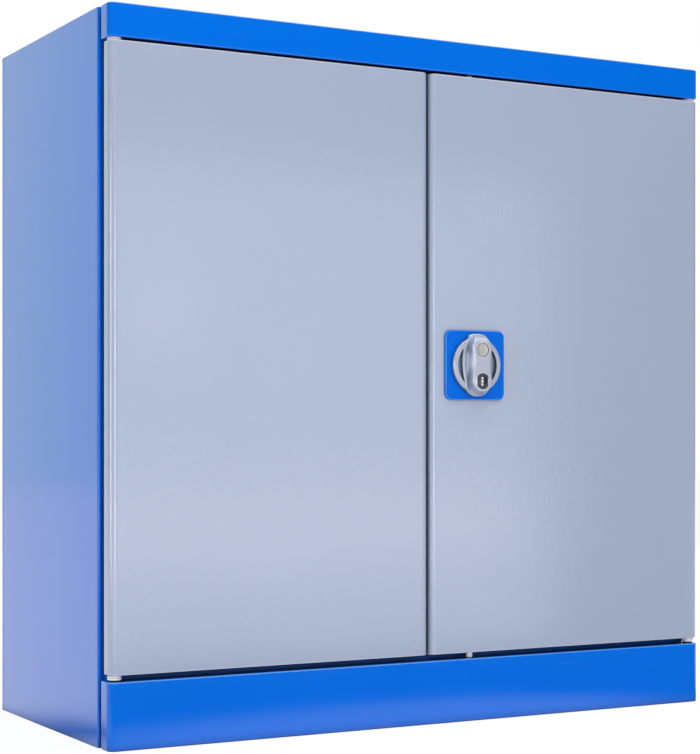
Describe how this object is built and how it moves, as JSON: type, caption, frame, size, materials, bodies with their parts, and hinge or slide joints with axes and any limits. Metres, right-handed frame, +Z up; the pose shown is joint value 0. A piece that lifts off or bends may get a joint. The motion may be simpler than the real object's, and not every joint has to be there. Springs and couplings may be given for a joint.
{
  "type": "two-door tool cabinet",
  "caption": "Sheet steel tool cabinet with hinged double doors, a rotary knob lock with bolt rods, adjustable shelves inside and wall fixing holes in the back.",
  "frame": {"origin": "at the base, in the middle of the width and of the whole depth from the knob's grip to the back panel", "axes": "+Z up, +X to the right seen from the front, the doors face -Y and the back is at +Y"},
  "size_m": [0.8, 0.37, 0.8],
  "materials": {
    "body_paint": "glossy blue powder coat with a fine orange peel",
    "door_paint": "light blue-grey powder coat, satin to gloss",
    "plate_paint": "blue powder coat on a flat plate",
    "zinc_plate": "zinc-plated pressed steel",
    "bright_steel": "bright plated steel",
    "knob_metal": "die casting with a fine satin silver coat",
    "dark_steel": "dark plated steel",
    "buffer_rubber": "black rubber",
    "spacer_plastic": "black nylon"
  },
  "bodies": {
    "carcass": {"left_side_panel": "body_paint", "right_side_panel": "body_paint", "back_panel": "body_paint", "roof_panel": "body_paint", "floor_panel": "body_paint", "top_fascia": "body_paint", "bottom_fascia": "body_paint", "left_front_post": "body_paint", "right_front_post": "body_paint", "top_stop_rail": "body_paint", "bottom_stop_rail": "body_paint", "left_front_shelf_rail": "zinc_plate", "right_front_shelf_rail": "zinc_plate", "left_rear_shelf_rail": "zinc_plate", "right_rear_shelf_rail": "zinc_plate", "lower_shelf": "body_paint", "upper_shelf": "body_paint", "shelf_clips": "zinc_plate", "wall_fixing_pads": "body_paint", "hinge_pins": "bright_steel", "hinge_washers": "bright_steel", "hinge_spacers": "spacer_plastic", "top_rod_keeper": "zinc_plate", "bottom_rod_keeper": "zinc_plate", "door_buffers": "buffer_rubber"},
    "left_door": {"left_door_skin": "door_paint", "left_door_stiffener": "door_paint", "left_door_bearing_plates": "zinc_plate", "left_door_bushes": "bright_steel", "tongue_keeper": "zinc_plate", "tongue_keeper_rivets": "bright_steel"},
    "right_door": {"right_door_skin": "door_paint", "right_door_stiffener": "door_paint", "right_door_bearing_plates": "zinc_plate", "right_door_bushes": "bright_steel", "lock_plate": "plate_paint", "lock_ring": "zinc_plate", "lock_case": "zinc_plate", "lock_case_screws": "bright_steel", "rod_guides": "zinc_plate"},
    "knob_body": {"knob": "knob_metal", "knob_cap": "knob_metal", "lock_barrel": "bright_steel", "spindle": "bright_steel", "pinion": "zinc_plate", "tongue": "zinc_plate", "tongue_screw": "bright_steel"},
    "plug": {"lock_plug": "dark_steel", "plug_cam": "zinc_plate"},
    "upper_bolt": {"upper_rack": "zinc_plate", "upper_rod": "bright_steel"},
    "lower_bolt": {"lower_rack": "zinc_plate", "lower_rod": "bright_steel"}
  },
  "joints": [
    {"name": "left_door_hinge", "type": "hinge", "parent": "carcass", "child": "left_door", "pos_m": [-0.39, -0.155, 0.42], "axis": [0, 0, -1], "range_deg": [0, 180]},
    {"name": "right_door_hinge", "type": "hinge", "parent": "carcass", "child": "right_door", "pos_m": [0.39, -0.155, 0.42], "axis": [0, 0, 1], "range_deg": [0, 180]},
    {"name": "knob_turn", "type": "hinge", "parent": "right_door", "child": "knob_body", "pos_m": [0.061, -0.165, 0.42], "axis": [0, 1, 0], "range_deg": [0, 90]},
    {"name": "upper_bolt_slide", "type": "slide", "parent": "right_door", "child": "upper_bolt", "axis": [0, 0, 1], "range_m": [0, 0.0126]},
    {"name": "lower_bolt_slide", "type": "slide", "parent": "right_door", "child": "lower_bolt", "axis": [0, 0, -1], "range_m": [0, 0.0126]},
    {"name": "plug_turn", "type": "hinge", "parent": "knob_body", "child": "plug", "pos_m": [0.061, -0.177, 0.4007], "axis": [0, 1, 0], "range_deg": [0, 90]}
  ],
  "couplings": [
    {"joint": "upper_bolt_slide", "follows": "knob_turn", "m_per_rad": 0.008},
    {"joint": "lower_bolt_slide", "follows": "knob_turn", "m_per_rad": 0.008}
  ]
}
